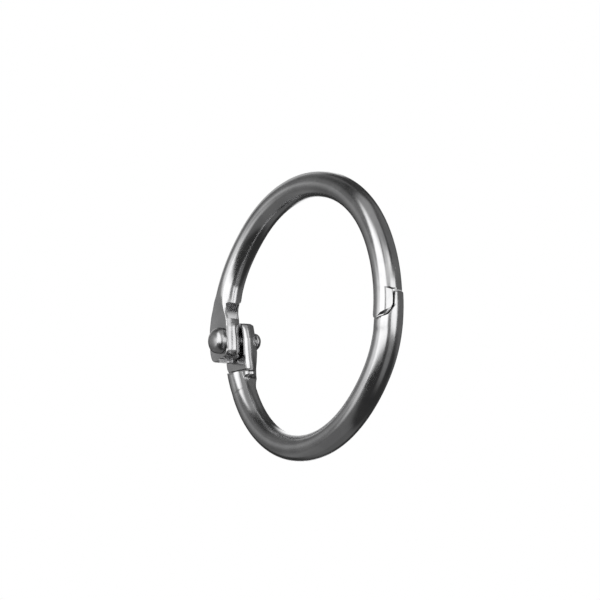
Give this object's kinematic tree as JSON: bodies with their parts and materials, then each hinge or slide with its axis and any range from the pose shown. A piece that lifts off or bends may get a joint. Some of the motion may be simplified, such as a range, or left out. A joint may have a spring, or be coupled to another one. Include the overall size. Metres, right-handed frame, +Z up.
{
  "type": "hinged binder ring",
  "caption": "Hinged loose-leaf binder ring of polished nickel-plated wire: half rings turn on a dome-head rivet and close in a half-lap snap catch.",
  "frame": {"origin": "centre of the closed ring's circle, on the wire's mid-plane", "axes": "+X from the hinge rivet to the catch, +Y along the rivet from its dome head to its peened tail, +Z up, towards the half that is held"},
  "size_m": [0.031, 0.0065, 0.031],
  "materials": {
    "nickel_wire": "polished nickel plate, lightly hazed, with fine handling scratches",
    "nickel_rivet": "nickel plate, tumbled, slightly duller than the wire"
  },
  "bodies": {
    "upper_body": {"upper_half": "nickel_wire", "hinge_rivet": "nickel_rivet"},
    "lower_body": {"lower_half": "nickel_wire"}
  },
  "joints": [
    {"name": "ring_hinge", "type": "hinge", "parent": "upper_body", "child": "lower_body", "pos_m": [-0.01305, 0, -0.00095], "axis": [0, 1, 0], "range_deg": [0, 110]}
  ]
}
